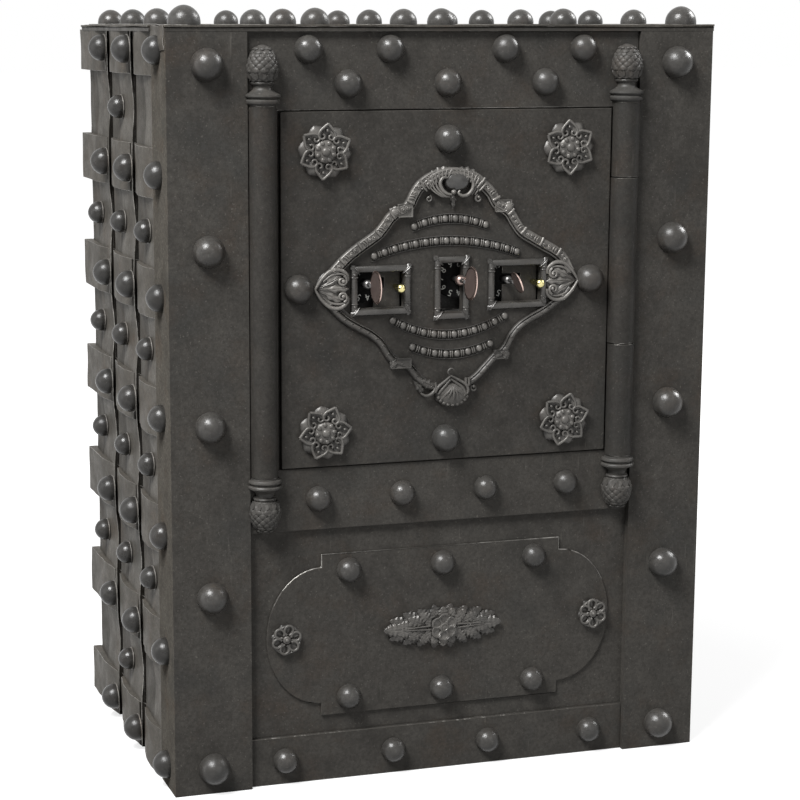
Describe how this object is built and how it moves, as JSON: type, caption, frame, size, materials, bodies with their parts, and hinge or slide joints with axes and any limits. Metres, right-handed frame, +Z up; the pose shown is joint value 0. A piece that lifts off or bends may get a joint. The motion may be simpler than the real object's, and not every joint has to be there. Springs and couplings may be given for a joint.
{
  "type": "iron strongbox",
  "caption": "Upright iron strongbox in a riveted strap lattice, with a hinged door, a cartouche, thumb turns, sliding shutters and a bolt bar over an inner chest.",
  "frame": {"origin": "middle of the flat underside of the carcass", "axes": "+X to the right as one faces the door, +Y into the depth, +Z up"},
  "size_m": [0.556, 0.4212, 0.713],
  "materials": {
    "plate_iron": "dark graphite paint over rolled plate, satin",
    "strap_iron": "dark graphite paint over forged strap, worn at the edges",
    "cast_iron": "cast ornament, dark graphite paint with rubbed high spots",
    "inner_iron": "dark sheet iron, matt",
    "oak": "old oak, unseen",
    "steel": "plain steel, dulled",
    "turn_steel": "polished steel with a coppery tone",
    "dial_iron": "black with raised bright figures",
    "brass": "pale brass, polished by use"
  },
  "bodies": {
    "carcass": {"bottom_plate": "plate_iron", "top_plate": "plate_iron", "back_plate": "plate_iron", "left_side_plate": "plate_iron", "right_side_plate": "plate_iron", "front_plate": "plate_iron", "head_strap": "plate_iron", "sill_strap": "plate_iron", "foot_strap": "plate_iron", "lower_relief_plate": "plate_iron", "left_corner_iron": "strap_iron", "right_corner_iron": "strap_iron", "left_lattice": "strap_iron", "right_lattice": "strap_iron", "back_lattice": "strap_iron", "top_lattice": "strap_iron", "panel_left_rosette": "cast_iron", "panel_right_rosette": "cast_iron", "leaf_spray": "cast_iron", "left_column": "cast_iron", "left_top_finial": "cast_iron", "left_bottom_finial": "cast_iron", "hinge_top_finial": "cast_iron", "hinge_bottom_finial": "cast_iron", "hinge_knuckle_bottom": "cast_iron", "hinge_knuckle_top": "cast_iron", "door_frame": "inner_iron", "latch_bar_front": "inner_iron", "latch_bar_back": "inner_iron", "inner_chest": "inner_iron", "oak_core": "oak", "shelf": "steel", "hinge_pin": "steel"},
    "door": {"door_plate": "plate_iron", "door_pan": "inner_iron", "door_back_cover": "inner_iron", "door_knuckle": "cast_iron", "lower_left_rosette": "cast_iron", "lower_right_rosette": "cast_iron", "upper_left_rosette": "cast_iron", "upper_right_rosette": "cast_iron", "cartouche_frame": "cast_iron", "left_window_frame": "cast_iron", "centre_window_frame": "cast_iron", "right_window_frame": "cast_iron", "lock_case": "inner_iron", "bolt_guide": "steel"},
    "bolts": {"bolt_bar": "steel"},
    "left_turn": {"left_thumb_turn": "turn_steel", "left_dial": "dial_iron"},
    "centre_turn": {"centre_thumb_turn": "turn_steel", "centre_dial": "dial_iron", "bolt_pinion": "steel"},
    "right_turn": {"right_thumb_turn": "turn_steel", "right_dial": "dial_iron"},
    "left_shutter": {"left_shutter": "inner_iron", "left_shutter_knob": "brass"},
    "right_shutter": {"right_shutter": "inner_iron", "right_shutter_knob": "brass"}
  },
  "joints": [
    {"name": "door_swing", "type": "hinge", "parent": "carcass", "child": "door", "pos_m": [0.1735, -0.18, 0.4595], "axis": [0, 0, 1], "range_deg": [0, 120]},
    {"name": "bolt_throw", "type": "slide", "parent": "door", "child": "bolts", "axis": [-1, 0, 0], "range_m": [0, 0.0139]},
    {"name": "centre_turn_spin", "type": "hinge", "parent": "door", "child": "centre_turn", "pos_m": [0.0109, -0.18, 0.4662], "axis": [0, -1, 0], "range_deg": [0, 100]},
    {"name": "left_turn_spin", "type": "hinge", "parent": "door", "child": "left_turn", "pos_m": [-0.0772, -0.18, 0.4652], "axis": [0, -1, 0], "continuous": true},
    {"name": "right_turn_spin", "type": "hinge", "parent": "door", "child": "right_turn", "pos_m": [0.0586, -0.18, 0.4646], "axis": [0, -1, 0], "continuous": true},
    {"name": "left_shutter_slide", "type": "slide", "parent": "door", "child": "left_shutter", "axis": [-1, 0, 0], "range_m": [-0.003, 0.014]},
    {"name": "right_shutter_slide", "type": "slide", "parent": "door", "child": "right_shutter", "axis": [-1, 0, 0], "range_m": [-0.003, 0.012]}
  ],
  "couplings": [
    {"joint": "centre_turn_spin", "follows": "bolt_throw", "rad_per_m": 125}
  ]
}
